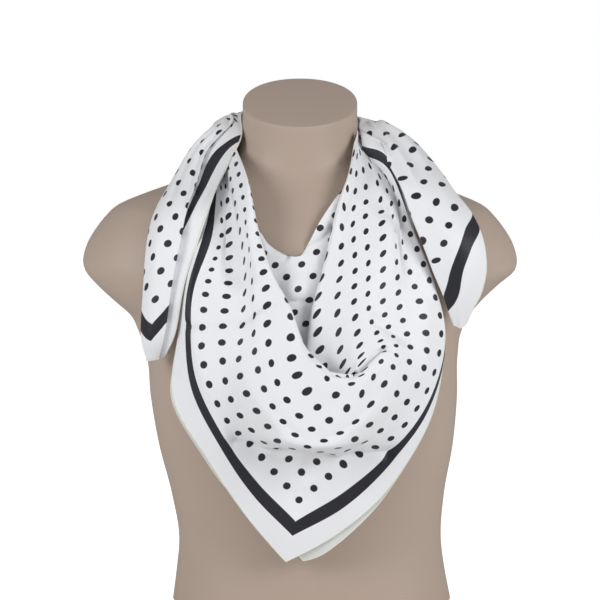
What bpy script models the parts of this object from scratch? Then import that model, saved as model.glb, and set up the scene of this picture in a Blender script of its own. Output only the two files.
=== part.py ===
"""Silk square scarf, folded corner to corner and draped as a cowl on a limbless dress form.

Metres, +Z up, front towards -Y. The origin is the middle of the form's flat base. The scarf is one
square of silk folded along its diagonal, so every stretch of it is two plies laid together: the
folded edge goes round the neck, the right-angled corner hangs at the front, and the two sharp ends
cross behind the neck and come forward over the shoulders.
"""

import bpy
import math
from collections import namedtuple
from mathutils import Vector
from mathutils.bvhtree import BVHTree

MM = 0.001

# Driving dimensions of the cloth, in millimetres
SQUARE_SIDE = 900.0
FOLD_DEPTH = SQUARE_SIDE / math.sqrt(2.0)
NECK_HALF_FOLD = 162.5
GATHER_HEM = 465.0
WALL = 1.2
SEAM_GAP = 0.45

# How far a cloth stands off the one that it covers, and how far out and in of a point that one is
# looked for
COVER_GAP = 0.6
LOOK_OUT = 45.0
LOOK_IN = 12.0

# The body's middle, seen from a point of the cloth: level with it round the chest, lower over the
# shoulders, where the way out of the body rises
CHEST_HEIGHT = 340.0
SHOULDER_RISE = 90.0
SHOULDER_LEAN = 0.55
SHOULDER_DROP = 55.0
BODY_MIDDLE = 8.0

# Points across and down each piece of cloth
FRONT_COLUMNS = 37
FRONT_STEPS = 2
COWL_COLUMNS = 29
COWL_STEPS = 5
WRAP_STEPS_ALONG = 2
WRAP_STEPS_ACROSS = 3

# Where the drape is gathered at each side of the neck: a strip that lies on the slope of the shoulder
GATHER_TOP = Vector((61.0, 10.0, 436.0))
GATHER_DOWN = Vector((0.6, 0.0, -0.8))
GATHER_OUT = Vector((0.8, 0.0, 0.6))

# Driving dimensions of the form
NECK_SLANT = math.radians(17.0)
SLANT_START = 380.0
SLANT_RANGE = 88.0
FORM_SEGMENTS = 44

FormRing = namedtuple("FormRing", "height half_width front back shift")
FORM_RINGS = (
    FormRing(0, 129.5, -86, 84, 11.0),
    FormRing(30, 124.7, -82, 78, 10.0),
    FormRing(57, 122.0, -80, 74, 9.5),
    FormRing(100, 126.5, -84, 75, 7.5),
    FormRing(149, 136.5, -92, 80, 5.5),
    FormRing(195, 141.8, -104, 88, 3.6),
    FormRing(232, 143.5, -110, 93, 2.0),
    FormRing(255, 149.0, -108, 95, 0.0),
    FormRing(271, 157.0, -106, 96, 0.0),
    FormRing(284, 170.0, -103, 96, -2.0),
    FormRing(300, 187.0, -100, 96, -2.0),
    FormRing(311, 198.0, -97, 95, 0.0),
    FormRing(319, 200.3, -95, 95, 0.0),
    FormRing(328, 199.2, -92, 94, 0.0),
    FormRing(338, 195.7, -89, 93, 0.0),
    FormRing(350, 188.5, -85, 91, 0.0),
    FormRing(361, 180.0, -80, 90, 0.0),
    FormRing(372, 168.0, -74, 88, 0.0),
    FormRing(382, 147.0, -68, 86, 0.0),
    FormRing(388, 130.0, -64, 83, 0.0),
    FormRing(394, 112.0, -61, 80, 0.0),
    FormRing(401, 92.0, -58, 76, 0.0),
    FormRing(408, 76.0, -55, 72, 0.0),
    FormRing(417, 64.0, -53, 69, 0.0),
    FormRing(430, 57.0, -52, 66, 0.0),
    FormRing(448, 54.0, -52, 64, 0.0),
    FormRing(468, 53.5, -54, 63, 0.0),
)

# Fold lines of the front drape, from the folded edge at the neck (share 0) to the hem (share 1).
# share and turn, the room inside the fold, are given at the left, in the middle and at the right;
# gather_left and gather_right place the line in the gathered strip beside the neck, down its slope
# and out from it; path has a point at each of the seven inner stations.
STATIONS = (-1.0, -0.75, -0.5, -0.25, 0.0, 0.25, 0.5, 0.75, 1.0)
FoldLine = namedtuple("FoldLine", "name share turn gather_left gather_right path")
FOLD_LINES = (
    FoldLine("neckline edge", (0, 0, 0), (0, 0, 0), (0, 2), (0, 2), (
        (-55, -60, 403), (-44, -86, 361), (-29, -96, 337), (-4, -96, 327),
        (16, -91, 344), (33, -77, 373), (47, -60, 401))),
    FoldLine("inner valley", (0.28, 0.28, 0.28), (4, 5, 5), (17, 4), (17, 4), (
        (-54, -65, 386), (-44, -93, 331), (-25, -113, 267), (0, -114, 217),
        (18, -111, 262), (33, -98, 320), (47, -76, 368))),
    FoldLine("right ridge", (0.54, 0.54, 0.54), (4, 4, 7), (2, 8), (0, 9), (
        (-49, -73, 400), (-40, -98, 348), (-22, -117, 286), (-8, -121, 232),
        (9, -121, 222), (10, -110, 290), (34, -82, 379))),
    FoldLine("pocket valley", (0.61, 0.60, 0.60), (4, 6, 0), (16, 13), (6, 14), (
        (-52, -79, 384), (-46, -103, 330), (-34, -123, 262), (-14, -129, 185),
        (34, -126, 207), (31, -116, 291), (46, -86, 372))),
    FoldLine("left lip", (0.68, 0.645, 0.66), (4, 8, 0), (3, 16), (10, 15), (
        (-48, -86, 402), (-35, -108, 349), (-13, -127, 297), (20, -148, 228),
        (47, -138, 231), (49, -121, 292), (58, -88, 369))),
    FoldLine("lip front", (0.725, 0.70, 0.70), (0, 0, 0), (9, 18), (13, 16), (
        (-50, -86, 394), (-39, -110, 339), (-26, -135, 272), (15, -156, 203),
        (65, -138, 243), (62, -122, 290), (68, -88, 365))),
    FoldLine("breast", (0.77, 0.76, 0.76), (0, 0, 0), (14, 18), (16, 16), (
        (-58, -79, 386), (-47, -111, 321), (-39, -138, 245), (9, -158, 176),
        (82, -137, 232), (81, -115, 286), (84, -85, 362))),
    FoldLine("belly", (0.80, 0.80, 0.80), (0, 0, 0), (19, 17), (20, 15), (
        (-63, -71, 377), (-52, -112, 306), (-52, -136, 230), (5, -150, 162),
        (86, -134, 212), (95, -109, 284), (91, -82, 359))),
    FoldLine("undercut", (0.84, 0.84, 0.84), (0, 0, 0), (23, 15), (24, 13), (
        (-70, -69, 367), (-70, -112, 297), (-62, -129, 209), (2, -120, 145),
        (86, -128, 192), (112, -103, 278), (97, -79, 356))),
    FoldLine("panel foot", (0.88, 0.88, 0.88), (0, 0, 0), (27, 12), (28, 11), (
        (-80, -67, 357), (-84, -111, 292), (-68, -125, 192), (-1, -107, 120),
        (85, -122, 174), (124, -95, 264), (104, -77, 352))),
    FoldLine("stripe", (0.935, 0.935, 0.935), (0, 0, 0), (31, 9), (31, 8), (
        (-90, -66, 349), (-102, -108, 274), (-72, -121, 163), (-5, -104, 86),
        (84, -117, 148), (126, -90, 253), (107, -76, 343))),
    FoldLine("hem", (1.0, 1.0, 1.0), (0, 0, 0), (36, 6), (35, 5), (
        (-99, -65, 342), (-116, -96, 254), (-82, -115, 148), (-13, -101, 53),
        (80, -113, 123), (123, -85, 243), (109, -75, 332))),
)
# Half the share of cloth taken up by the turn of a fold, and where the front drape starts
TURN_SHARE = 0.011
RIDGE_START = 0.551

# The cowl's inner sheet shows between these stations, and this far down towards the inner valley
COWL_ENDS = (-0.62, 0.64)
COWL_FOOT = 0.85

# Where folds fade or shift, they do so between these stations
LEFT_FADE = -0.4
RIGHT_FADE = 0.4
FULL_TURN = 3.5

# The second ply shows past the hem: how far its edge stands out of the first ply's, across and up.
# It takes the last rows of the front drape, laid inwards, and deeper where it is moved further.
UNDER_PLY_ROWS = 5
UNDER_PLY_DEPTH = 2.1
SHIFT_DEPTH = 0.1
PlyShift = namedtuple("PlyShift", "station across up")
PLY_SHIFTS = (
    PlyShift(-0.45, -2, 0),
    PlyShift(-0.35, -4, 1),
    PlyShift(-0.20, -3, 2),
    PlyShift(-0.07, 6, 8),
    PlyShift(0.0, 16, 1),
    PlyShift(0.10, 8, -5),
    PlyShift(0.30, 3, -3),
    PlyShift(0.42, 2, -2),
)

# Sections of the two wraps, from the gather at one side of the neck, round the nape, to the corner
# of the cloth at the other side. outer is the edge on the shoulder, ridge the line that stands out,
# inner the edge by the neck; crown is the bulge between outer and ridge, tuck the step back beside
# the ridge.
#
# The wraps change places behind the neck: which of them covers the other is told by the side of
# CROSSING, to within CROSSING_SPAN. In front of FRONT_OF_NECK both cover the front drape.
CROSSING = -50.0
CROSSING_SPAN = 6.0
FRONT_OF_NECK = 30.0
Section = namedtuple("Section", "name outer ridge inner crown tuck")
LEFT_SECTIONS = (
    Section("gather", (84, 13, 412), (76, 13, 428), (64, 13, 439), 1, 0),
    Section("right nape", (62, 68, 409), (52, 62, 421), (43, 54, 434), 2, 0),
    Section("nape", (0, 80, 420), (0, 75, 434), (0, 70, 448), 1, 0),
    Section("left nape", (-53, 61, 441), (-47, 56, 451), (-41, 51, 459), 2, 0),
    Section("neck side", (-80, 36, 442), (-69, 30, 455), (-59, 24, 458), 3, 0),
    Section("shoulder top", (-87, 14, 440), (-73, 4, 448), (-61, -6, 446), 4, 1),
    Section("shoulder front", (-103, 2, 423), (-86, -16, 425), (-64, -28, 425), 5, 4),
    Section("collar bone", (-121, -24, 393), (-95, -50, 397), (-75, -60, 395), 6, 5),
    Section("chest", (-134, -54, 369), (-103, -78, 374), (-82, -78, 377), 6, 5),
    Section("upper fall", (-140, -74, 341), (-109, -93, 342), (-97, -88, 344), 6, 5),
    Section("middle fall", (-143, -81, 300), (-116, -99, 306), (-108, -97, 306), 5, 4),
    Section("lower fall", (-145, -85, 259), (-122, -98, 265), (-117, -97, 264), 4, 3),
    Section("corner", (-140, -84, 236), (-128, -87, 238), (-125, -85, 240), 1, 1),
)
RIGHT_SECTIONS = (
    Section("gather", (-84, 13, 412), (-76, 13, 428), (-64, 13, 439), 1, 0),
    Section("left nape", (-64, 70, 409), (-56, 67, 420), (-50, 61, 431), 2, 0),
    Section("before the crossing", (-34, 85, 413), (-31, 82, 426), (-28, 79, 440), 1, 0),
    Section("nape", (0, 82.4, 421), (0, 77.4, 434), (0, 72.4, 447), 1, 0),
    Section("past the crossing", (33, 79, 432), (30, 75, 444), (26, 69, 455), 1, 0),
    Section("right nape", (57, 66, 440), (51, 61, 451), (43, 55, 459), 2, 0),
    Section("neck side", (82, 36, 446), (70, 30, 456), (59, 26, 458), 3, 0),
    Section("shoulder top", (88, 18, 446), (72, 9, 453), (58, 0, 447), 4, 0),
    Section("shoulder front", (105, 10, 432), (82, -6, 442), (62, -14, 433), 4, 0),
    Section("collar bone", (117, -2, 421), (89, -28, 429), (68, -36, 423), 4, 0),
    Section("chest", (130, -16, 406), (101, -52, 410), (79, -58, 408), 4, 0),
    Section("upper fall", (141, -36, 388), (114, -76, 391), (91, -76, 391), 4, 0),
    Section("middle fall", (154, -58, 370), (125, -92, 368), (102, -88, 365), 4, 0),
    Section("hem start", (162, -74, 347), (137, -102, 346), (113, -95, 338), 3, 0),
    Section("hem bend", (168, -80, 323), (144, -103, 322), (121, -96, 317), 3, 0),
    Section("lower fall", (166, -82, 300), (148, -98, 298), (130, -93, 296), 2, 0),
    Section("above corner", (157, -84, 283), (147, -91, 279), (136, -88, 279), 1, 0),
    Section("corner", (151, -84, 269), (146, -86, 266), (140, -85, 269), 0, 0),
)

MATERIALS = {
    "form": ((0.45, 0.36, 0.30, 1.0), 0.55),
    "silk": ((0.86, 0.86, 0.87, 1.0), 0.42),
}


def clear_scene():
    """Remove every object the file opened with."""
    for item in list(bpy.data.objects):
        bpy.data.objects.remove(item, do_unlink=True)


def make_collection(name):
    """A collection linked to the scene."""
    collection = bpy.data.collections.new(name)
    bpy.context.scene.collection.children.link(collection)
    return collection


def make_material(name):
    """A Principled material with the colour and roughness of the named finish."""
    colour, roughness = MATERIALS[name]
    material = bpy.data.materials.new(name)
    material.use_nodes = True
    shader = material.node_tree.nodes["Principled BSDF"]
    shader.inputs["Base Color"].default_value = colour
    shader.inputs["Roughness"].default_value = roughness
    shader.inputs["Metallic"].default_value = 0.0
    return material


def smooth_step(value):
    """Ease from 0 to 1."""
    value = max(0.0, min(1.0, value))
    return value * value * (3.0 - 2.0 * value)


def spline(knots, values, place):
    """The point at place on a smooth curve through values at the rising knots."""
    last = len(knots) - 1
    index = 0
    while index < last - 1 and place > knots[index + 1]:
        index += 1

    def slope(i):
        before = max(i - 1, 0)
        after = min(i + 1, last)
        if before == i or after == i:
            return (values[after] - values[before]) / (knots[after] - knots[before])
        span_before = knots[i] - knots[before]
        span_after = knots[after] - knots[i]
        rate_before = (values[i] - values[before]) / span_before
        rate_after = (values[after] - values[i]) / span_after
        return (rate_before * span_after + rate_after * span_before) / (span_before + span_after)

    span = knots[index + 1] - knots[index]
    t = (place - knots[index]) / span
    start = values[index] * (2 * t ** 3 - 3 * t ** 2 + 1) + slope(index) * (span * (t ** 3 - 2 * t ** 2 + t))
    end = values[index + 1] * (3 * t ** 2 - 2 * t ** 3) + slope(index + 1) * (span * (t ** 3 - t ** 2))
    return start + end


def superellipse(angle, half_width, half_depth, power):
    """A point on a rounded section."""
    across = math.copysign(abs(math.cos(angle)) ** (2.0 / power), math.cos(angle))
    deep = math.copysign(abs(math.sin(angle)) ** (2.0 / power), math.sin(angle))
    return half_width * across, half_depth * deep


def form_ring(ring):
    """The points of one level section of the form, slanted near the top of the neck."""
    middle = (ring.front + ring.back) / 2.0
    half_depth = (ring.back - ring.front) / 2.0
    power = 2.3 if ring.height < SLANT_START else 2.1
    slant = math.tan(NECK_SLANT) * smooth_step((ring.height - SLANT_START) / SLANT_RANGE)
    points = []
    for step in range(FORM_SEGMENTS):
        angle = 2.0 * math.pi * step / FORM_SEGMENTS
        x, y = superellipse(angle, ring.half_width, half_depth, power)
        points.append(Vector((ring.shift + x, middle + y, ring.height + slant * y)))
    return points


def link_mesh(name, points, faces, material, collection):
    """A mesh object from points in millimetres."""
    mesh = bpy.data.meshes.new(name)
    mesh.from_pydata([point * MM for point in points], [], faces)
    mesh.update()
    mesh.shade_smooth()
    mesh.materials.append(material)
    item = bpy.data.objects.new(name, mesh)
    collection.objects.link(item)
    return item


def grid_faces(rows, columns, closed=False):
    """Quads of a grid of rows by columns of points; closed joins each row into a ring."""
    faces = []
    for row in range(rows - 1):
        for column in range(columns if closed else columns - 1):
            beside = (column + 1) % columns
            low = row * columns
            high = low + columns
            faces.append((low + column, low + beside, high + beside, high + column))
    return faces


def build_form(collection, material):
    """The limbless bust: a loft of level sections with a flat base and a flat neck top."""
    rings = [form_ring(ring) for ring in FORM_RINGS]
    points = [point for ring in rings for point in ring]
    faces = grid_faces(len(rings), FORM_SEGMENTS, closed=True)
    top = (len(rings) - 1) * FORM_SEGMENTS
    faces.append(tuple(reversed(range(FORM_SEGMENTS))))
    faces.append(tuple(top + step for step in range(FORM_SEGMENTS)))
    return link_mesh("dress_form", points, faces, material, collection)


def tree_of(item):
    """A search tree over an object's evaluated mesh, in millimetres."""
    evaluated = item.evaluated_get(bpy.context.evaluated_depsgraph_get())
    mesh = evaluated.to_mesh()
    points = [vertex.co / MM for vertex in mesh.vertices]
    faces = [tuple(polygon.vertices) for polygon in mesh.polygons]
    tree = BVHTree.FromPolygons(points, faces)
    evaluated.to_mesh_clear()
    return tree


def outward(point):
    """The way out of the body at a point: level round the chest, rising over the shoulders."""
    rise = smooth_step((point.z - CHEST_HEIGHT) / SHOULDER_RISE)
    heart = Vector((point.x * SHOULDER_LEAN * rise, BODY_MIDDLE, point.z - SHOULDER_DROP * rise))
    return (point - heart).normalized()


def keep_off_form(point, form_tree, gap):
    """A point moved out of the form, to lie gap clear of it."""
    nearest, normal, _, distance = form_tree.find_nearest(point)
    inside = (point - nearest).dot(normal) < 0.0
    if inside or distance < gap:
        return nearest + normal * gap
    return point


def keep_over(point, cloth_tree, gap):
    """A point moved out along the body's outward way, to lie gap outside a cloth already placed."""
    way = outward(point)
    hit, _, _, _ = cloth_tree.ray_cast(point + way * LOOK_OUT, -way, LOOK_OUT + LOOK_IN)
    if hit is None or (point - hit).dot(way) > gap:
        return point
    return hit + way * gap


def cleared(point, form_tree, covers):
    """A point moved clear of the form and outside each cloth that it covers."""
    for tree, covers_here in covers:
        if covers_here(point):
            point = keep_over(point, tree, WALL / 2.0 + COVER_GAP)
    return keep_off_form(point, form_tree, WALL / 2.0 + SEAM_GAP)


def settle(grid, form_tree, covers=(), rounds=5):
    """Lay a grid on the form and on the cloths it covers, and ease what was moved.

    The middles of the quads and of their sides are kept clear too, because the cloth between two
    points runs straight while what is under it is round.
    """
    start = [list(row) for row in grid]
    rows, columns = len(grid), len(grid[0])
    spans = ((0, 1), (1, 0), (1, 1))
    for turn in range(rounds):
        for r in range(rows):
            for c in range(columns):
                grid[r][c] = cleared(grid[r][c], form_tree, covers)
        for r in range(rows):
            for c in range(columns):
                for down, over in spans:
                    if r + down >= rows or c + over >= columns:
                        continue
                    corners = {(r, c), (r + down, c), (r, c + over), (r + down, c + over)}
                    middle = sum((grid[i][j] for i, j in corners), Vector()) / len(corners)
                    lift = cleared(middle, form_tree, covers) - middle
                    for i, j in corners:
                        grid[i][j] = grid[i][j] + lift
        if turn == rounds - 1:
            break
        moves = [[grid[r][c] - start[r][c] for c in range(columns)] for r in range(rows)]
        for r in range(rows):
            for c in range(columns):
                around = [moves[i][j] for i, j in ((r - 1, c), (r + 1, c), (r, c - 1), (r, c + 1))
                          if 0 <= i < rows and 0 <= j < columns]
                mean = sum(around, Vector()) / len(around)
                grid[r][c] = start[r][c] + moves[r][c].lerp(mean, 0.5)
    return grid


def cloth_wall(name, grid, material, collection):
    """A cloth wall: an open grid thickened evenly to both sides."""
    points = [point for row in grid for point in row]
    item = link_mesh(name, points, grid_faces(len(grid), len(grid[0])), material, collection)
    wall = item.modifiers.new("wall", "SOLIDIFY")
    wall.thickness = WALL * MM
    wall.offset = 0.0
    return item


def flat_place(station, share):
    """Where a station of a fold line lies on the cloth laid flat: across, and down from the fold."""
    reach = GATHER_HEM / math.sqrt(2.0)
    fold = Vector((NECK_HALF_FOLD * station, 0.0, 0.0))
    hem = Vector((reach * station, 0.0, -(FOLD_DEPTH - reach * abs(station))))
    return fold.lerp(hem, share)


def gather_point(side, down, out):
    """A point of the gathered strip beside the neck; side is -1 left or 1 right."""
    top, slope, lift = GATHER_TOP.copy(), GATHER_DOWN.copy(), GATHER_OUT.copy()
    for way in (top, slope, lift):
        way.x *= side
    return top + slope * down + lift * out


def eased(values, station):
    """A value given at the left, in the middle and at the right, at any station."""
    left, middle, right = values
    if station <= 0.0:
        return middle + (left - middle) * smooth_step(station / LEFT_FADE)
    return middle + (right - middle) * smooth_step(station / RIGHT_FADE)


def line_points(line):
    """The nine points of a fold line, from gather to gather."""
    inner = [Vector(place) for place in line.path]
    return [gather_point(-1.0, *line.gather_left)] + inner + [gather_point(1.0, *line.gather_right)]


def control_rows():
    """Rows of (shares, points), one of each for every station.

    A fold line with room in it gives two rows, the back and the front of the fold. Where the fold
    fades, the two rows lie apart along the cloth instead of one behind the other.
    """
    lines = [line_points(line) for line in FOLD_LINES]
    rows = []
    for index, line in enumerate(FOLD_LINES):
        shares = [eased(line.share, station) for station in STATIONS]
        if not any(line.turn):
            rows.append((shares, lines[index]))
            continue
        for face in (-1.0, 1.0):
            moved = []
            for k, station in enumerate(STATIONS):
                before, after = FOLD_LINES[index - 1], FOLD_LINES[index + 1]
                span = eased(after.share, station) - eased(before.share, station)
                along = (lines[index + 1][k] - lines[index - 1][k]) / span
                room = eased(line.turn, station)
                fade = 1.0 - smooth_step(room / FULL_TURN)
                point = lines[index][k] + outward(lines[index][k]) * (face * room / 2.0)
                moved.append(point + along * (face * TURN_SHARE * fade))
            rows.append(([share + face * TURN_SHARE for share in shares], moved))
    return rows


def drape_point(rows, station, share):
    """The middle of the drape's cloth at a station and a share of the way from fold to hem."""
    knots = []
    offsets = []
    for shares, points in rows:
        values = [point - flat_place(s, at) for s, at, point in zip(STATIONS, shares, points)]
        knots.append(spline(STATIONS, shares, station))
        offsets.append(spline(STATIONS, values, station))
    return flat_place(station, share) + spline(knots, offsets, share)


def drape_grid(first, last, steps_between, columns):
    """A grid over the drape between two shares, with rows on its fold lines at every station.

    first and last are shares; steps_between splits the span between two control rows, except the
    short span inside a fold.
    """
    rows = control_rows()
    middle = len(STATIONS) // 2
    inside = [row for row in rows if first < row[0][middle] < last]
    grid = []
    for low, high in zip([None] + inside, inside + [None]):
        short = low is not None and high is not None and high[0][middle] - low[0][middle] < 2.5 * TURN_SHARE
        steps = 1 if short else steps_between
        for step in range(steps + (high is None)):
            line = []
            for column in range(columns):
                station = -1.0 + 2.0 * column / (columns - 1)
                start = first if low is None else spline(STATIONS, low[0], station)
                end = last if high is None else spline(STATIONS, high[0], station)
                line.append(drape_point(rows, station, start + (end - start) * step / steps))
            grid.append(line)
    return grid


def build_cowl(collection, material, form_tree):
    """The inner sheet of the cowl: it hangs straight from the folded edge towards the inner valley."""
    edge, valley = line_points(FOLD_LINES[0]), line_points(FOLD_LINES[1])
    grid = []
    for step in range(COWL_STEPS + 1):
        row = []
        for column in range(COWL_COLUMNS):
            station = COWL_ENDS[0] + (COWL_ENDS[1] - COWL_ENDS[0]) * column / (COWL_COLUMNS - 1)
            top, foot = spline(STATIONS, edge, station), spline(STATIONS, valley, station)
            row.append(top.lerp(foot, COWL_FOOT * step / COWL_STEPS))
        grid.append(row)
    return cloth_wall("neckline_cowl", settle(grid, form_tree), material, collection)


def build_front(collection, material, form_tree, cowl):
    """The front drape: right ridge, pocket, left lip, breast, belly and the hanging corner."""
    grid = drape_grid(RIDGE_START, 1.0, FRONT_STEPS, FRONT_COLUMNS)
    settle(grid, form_tree, ((tree_of(cowl), lambda point: True),))
    return grid, cloth_wall("front_drape", grid, material, collection)


def build_under_ply(collection, material, front_grid):
    """The second ply's border: the foot of the front drape moved inwards and past its hem."""
    knots = [shift.station for shift in PLY_SHIFTS]
    shifts = [Vector((shift.across, 0.0, shift.up)) for shift in PLY_SHIFTS]
    foot = len(front_grid) - UNDER_PLY_ROWS
    grid = []
    for level in range(UNDER_PLY_ROWS):
        row = []
        for column in range(1, FRONT_COLUMNS - 1):
            station = -1.0 + 2.0 * column / (FRONT_COLUMNS - 1)
            if not knots[0] <= station <= knots[-1]:
                continue
            r = foot + level
            along = front_grid[r][column + 1] - front_grid[r][column - 1]
            down = front_grid[min(r + 1, len(front_grid) - 1)][column] - front_grid[r - 1][column]
            inward = along.cross(down).normalized()
            if inward.dot(outward(front_grid[r][column])) > 0.0:
                inward = -inward
            shift = spline(knots, shifts, station) * (level / (UNDER_PLY_ROWS - 1))
            shift -= inward * shift.dot(inward)
            depth = UNDER_PLY_DEPTH + SHIFT_DEPTH * shift.length
            row.append(front_grid[r][column] + shift + inward * depth)
        grid.append(row)
    return cloth_wall("under_ply", grid, material, collection)


def section_row(sections, index):
    """Control points across one section of a wrap, from the outer edge to the inner one."""
    section = sections[index]
    outer, ridge, inner = Vector(section.outer), Vector(section.ridge), Vector(section.inner)
    before = Vector(sections[max(index - 1, 0)].ridge)
    after = Vector(sections[min(index + 1, len(sections) - 1)].ridge)
    out = (inner - outer).cross(after - before).normalized()
    if out.dot(outward(ridge)) < 0.0:
        out = -out
    panel = ridge - outer
    return [
        outer,
        outer + panel * 0.5 + out * section.crown,
        ridge,
        ridge.lerp(inner, 0.35) - out * section.tuck,
        inner,
    ]


def wrap_grid(sections):
    """A grid over a wrap, smooth along its length and across each section."""
    controls = [section_row(sections, index) for index in range(len(sections))]
    along = list(range(len(sections)))
    across = list(range(len(controls[0])))
    grid = []
    for step in range((len(sections) - 1) * WRAP_STEPS_ALONG + 1):
        place = step / WRAP_STEPS_ALONG
        line = [spline(along, [row[k] for row in controls], place) for k in across]
        count = (len(across) - 1) * WRAP_STEPS_ACROSS
        grid.append([spline(across, line, k / WRAP_STEPS_ACROSS) for k in range(count + 1)])
    return grid


def build_wraps(collection, material, form_tree, front):
    """Both ends of the scarf, each from its gather round the nape to its corner.

    They cross behind the neck: on each shoulder the end that comes over lies outside the start of
    the other one.
    """
    over_front = (tree_of(front), lambda point: point.y < FRONT_OF_NECK)
    right_grid = settle(wrap_grid(RIGHT_SECTIONS), form_tree, (over_front,))
    first = cloth_wall("wrap_to_right_end", right_grid, material, collection)
    over_right = (tree_of(first), lambda point: point.x < CROSSING - CROSSING_SPAN)
    left_grid = settle(wrap_grid(LEFT_SECTIONS), form_tree, (over_front, over_right))
    left = cloth_wall("wrap_to_left_end", left_grid, material, collection)
    over_left = (tree_of(left), lambda point: point.x > CROSSING + CROSSING_SPAN)
    bpy.data.objects.remove(first, do_unlink=True)
    right_grid = settle(right_grid, form_tree, (over_front, over_left))
    cloth_wall("wrap_to_right_end", right_grid, material, collection)


def main():
    clear_scene()
    parts = make_collection("silk_square_scarf_on_form")
    silk = make_material("silk")
    form = build_form(parts, make_material("form"))
    form_tree = tree_of(form)
    cowl = build_cowl(parts, silk, form_tree)
    front_grid, front = build_front(parts, silk, form_tree, cowl)
    build_under_ply(parts, silk, front_grid)
    build_wraps(parts, silk, form_tree, front)


main()
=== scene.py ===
"""Silk square scarf with printed spots, draped as a cowl on a limbless dress form.

The scarf is one square of silk folded corner to corner. Its folded edge goes round the neck, the
right-angled corner hangs at the front, and the two ends cross behind the neck and come forward
over the shoulders. Everything is worked out in millimetres and linked in metres.
"""

import logging
import math
from dataclasses import dataclass, field
from enum import Enum

import bpy
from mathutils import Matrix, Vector, noise
from mathutils.bvhtree import BVHTree


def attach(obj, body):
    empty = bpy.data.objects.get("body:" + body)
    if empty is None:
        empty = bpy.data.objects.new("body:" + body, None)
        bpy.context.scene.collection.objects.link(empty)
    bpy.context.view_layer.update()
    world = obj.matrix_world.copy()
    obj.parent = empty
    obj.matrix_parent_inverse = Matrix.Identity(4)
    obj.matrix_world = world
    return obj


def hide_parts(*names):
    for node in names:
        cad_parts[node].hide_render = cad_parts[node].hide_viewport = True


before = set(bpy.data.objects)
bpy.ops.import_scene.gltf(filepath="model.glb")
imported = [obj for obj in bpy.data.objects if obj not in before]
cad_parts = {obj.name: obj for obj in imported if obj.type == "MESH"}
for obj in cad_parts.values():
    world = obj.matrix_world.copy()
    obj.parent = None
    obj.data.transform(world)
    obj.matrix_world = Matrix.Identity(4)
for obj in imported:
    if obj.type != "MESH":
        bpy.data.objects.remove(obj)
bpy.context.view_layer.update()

LOG = logging.getLogger("scarf")
MM = 0.001
ROOT = "root"


class Slot(Enum):
    """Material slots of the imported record."""

    FORM = "form"
    SILK = "silk"


# --------------------------------------------------------------------------------------------
# Small mathematics


def smooth_step(value: float) -> float:
    """Ease from 0 to 1."""
    value = max(0.0, min(1.0, value))
    return value * value * (3.0 - 2.0 * value)


def slope_at(knots, values, index: int):
    """The slope of a smooth curve at one of its knots.

    Args:
        knots: Rising places.
        values: Numbers or vectors at those places.
        index: Which knot.

    Returns:
        The slope, of the same kind as the values.
    """
    before = max(index - 1, 0)
    after = min(index + 1, len(knots) - 1)
    if before == index or after == index:
        return (values[after] - values[before]) / (knots[after] - knots[before])
    span_before = knots[index] - knots[before]
    span_after = knots[after] - knots[index]
    rate_before = (values[index] - values[before]) / span_before
    rate_after = (values[after] - values[index]) / span_after
    return (rate_before * span_after + rate_after * span_before) / (span_before + span_after)


def spline(knots, values, place: float):
    """The value at a place on a smooth curve through values at rising knots.

    Args:
        knots: Rising places.
        values: Numbers or vectors at those places.
        place: Where to read the curve.

    Returns:
        The value there, of the same kind as the values.
    """
    last = len(knots) - 1
    index = 0
    while index < last - 1 and place > knots[index + 1]:
        index += 1
    span = knots[index + 1] - knots[index]
    t = (place - knots[index]) / span
    start = values[index] * (2 * t**3 - 3 * t**2 + 1)
    start = start + slope_at(knots, values, index) * (span * (t**3 - 2 * t**2 + t))
    end = values[index + 1] * (3 * t**2 - 2 * t**3)
    end = end + slope_at(knots, values, index + 1) * (span * (t**3 - t**2))
    return start + end


# --------------------------------------------------------------------------------------------
# Finishes


class Bench:
    """Adds nodes to a node tree and joins them."""

    def __init__(self, tree: bpy.types.NodeTree) -> None:
        """Work on a tree."""
        self.tree = tree

    def add(self, kind: str, **settings) -> bpy.types.Node:
        """A new node of a kind with its settings.

        Args:
            kind: The node's type name.
            **settings: Properties to set on it.

        Returns:
            The node.
        """
        node = self.tree.nodes.new(kind)
        for name, value in settings.items():
            setattr(node, name, value)
        return node

    def feed(self, socket, value) -> None:
        """Join an output to a socket, or set the socket's own value."""
        if isinstance(value, bpy.types.NodeSocket):
            self.tree.links.new(value, socket)
        else:
            socket.default_value = value

    def math(self, operation: str, *values) -> bpy.types.NodeSocket:
        """The output of a Math node.

        Args:
            operation: The node's operation.
            *values: Numbers or outputs for its inputs.

        Returns:
            Its value output.
        """
        node = self.add("ShaderNodeMath", operation=operation)
        for socket, value in zip(node.inputs, values):
            self.feed(socket, value)
        return node.outputs[0]

    def mix(self, share, first, second) -> bpy.types.NodeSocket:
        """A colour between two others."""
        node = self.add("ShaderNodeMix", data_type="RGBA")
        self.feed(node.inputs[0], share)
        self.feed(node.inputs[6], first)
        self.feed(node.inputs[7], second)
        return node.outputs[2]

    def group(self, tree: bpy.types.NodeTree) -> bpy.types.Node:
        """A node that stands for a group."""
        node = self.add("ShaderNodeGroup")
        node.node_tree = tree
        return node


def colour(red: float, green: float, blue: float) -> tuple[float, float, float, float]:
    """A colour given as shown on a screen, 0 to 255, made linear."""
    parts = []
    for part in (red, green, blue):
        part = part / 255.0
        parts.append(part / 12.92 if part <= 0.04045 else ((part + 0.055) / 1.055) ** 2.4)
    return (*parts, 1.0)


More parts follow.
